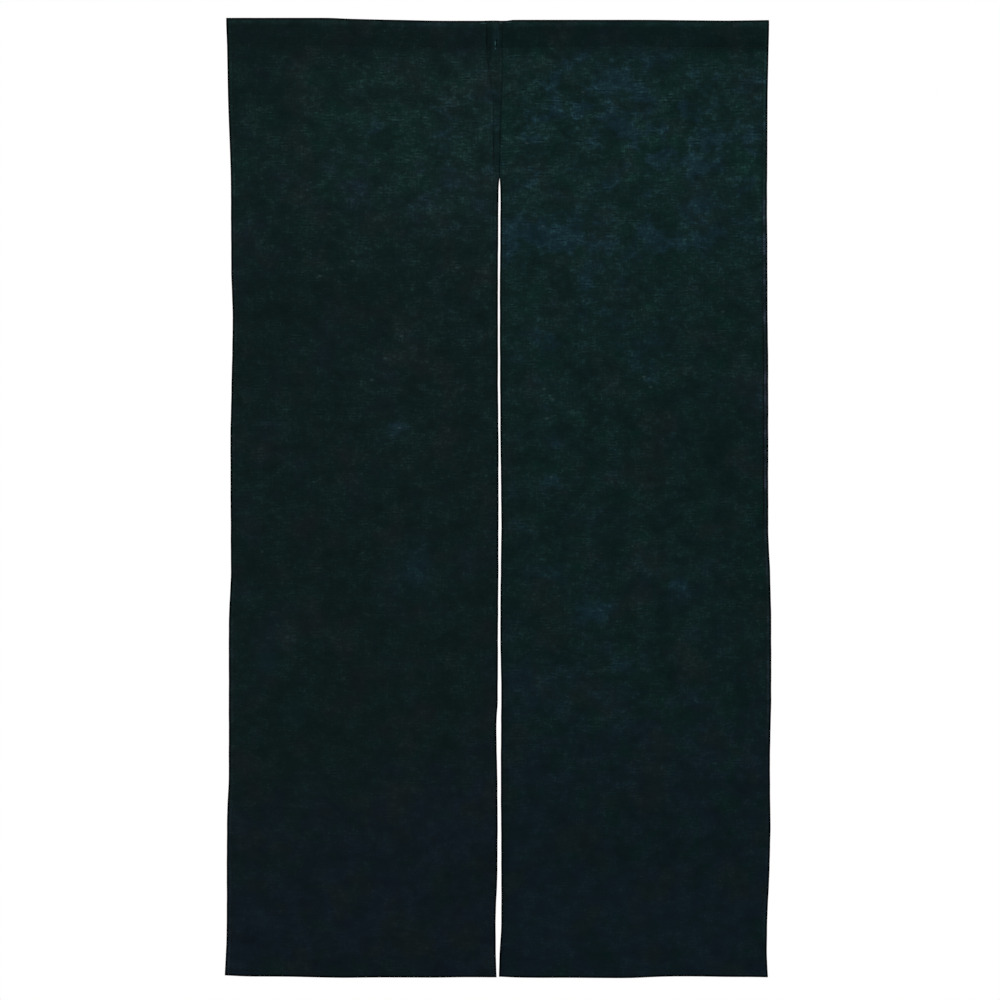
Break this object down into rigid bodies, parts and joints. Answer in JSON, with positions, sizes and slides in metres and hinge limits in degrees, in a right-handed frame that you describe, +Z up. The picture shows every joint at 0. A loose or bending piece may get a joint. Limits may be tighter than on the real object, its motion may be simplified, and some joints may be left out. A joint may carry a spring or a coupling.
{
  "type": "noren curtain",
  "caption": "Dark teal linen doorway curtain: flat panels seamed at the top, parted by a central slit, with hems and a rod pocket folded to the back.",
  "frame": {"origin": "on the hanging line: the middle of the top edge, over the seam between the panels", "axes": "+X towards the viewer's right, -Y towards the viewer, who sees the front, +Z up; the cloth hangs down along -Z"},
  "size_m": [0.8553, 0.0178, 1.5039],
  "materials": {
    "left_cloth": "matte plain-weave linen with slubs, greenish dark teal",
    "right_cloth": "matte plain-weave linen with slubs, bluish dark teal"
  },
  "bodies": {
    "root": {"left_panel": "left_cloth", "right_panel": "right_cloth"}
  },
  "joints": []
}
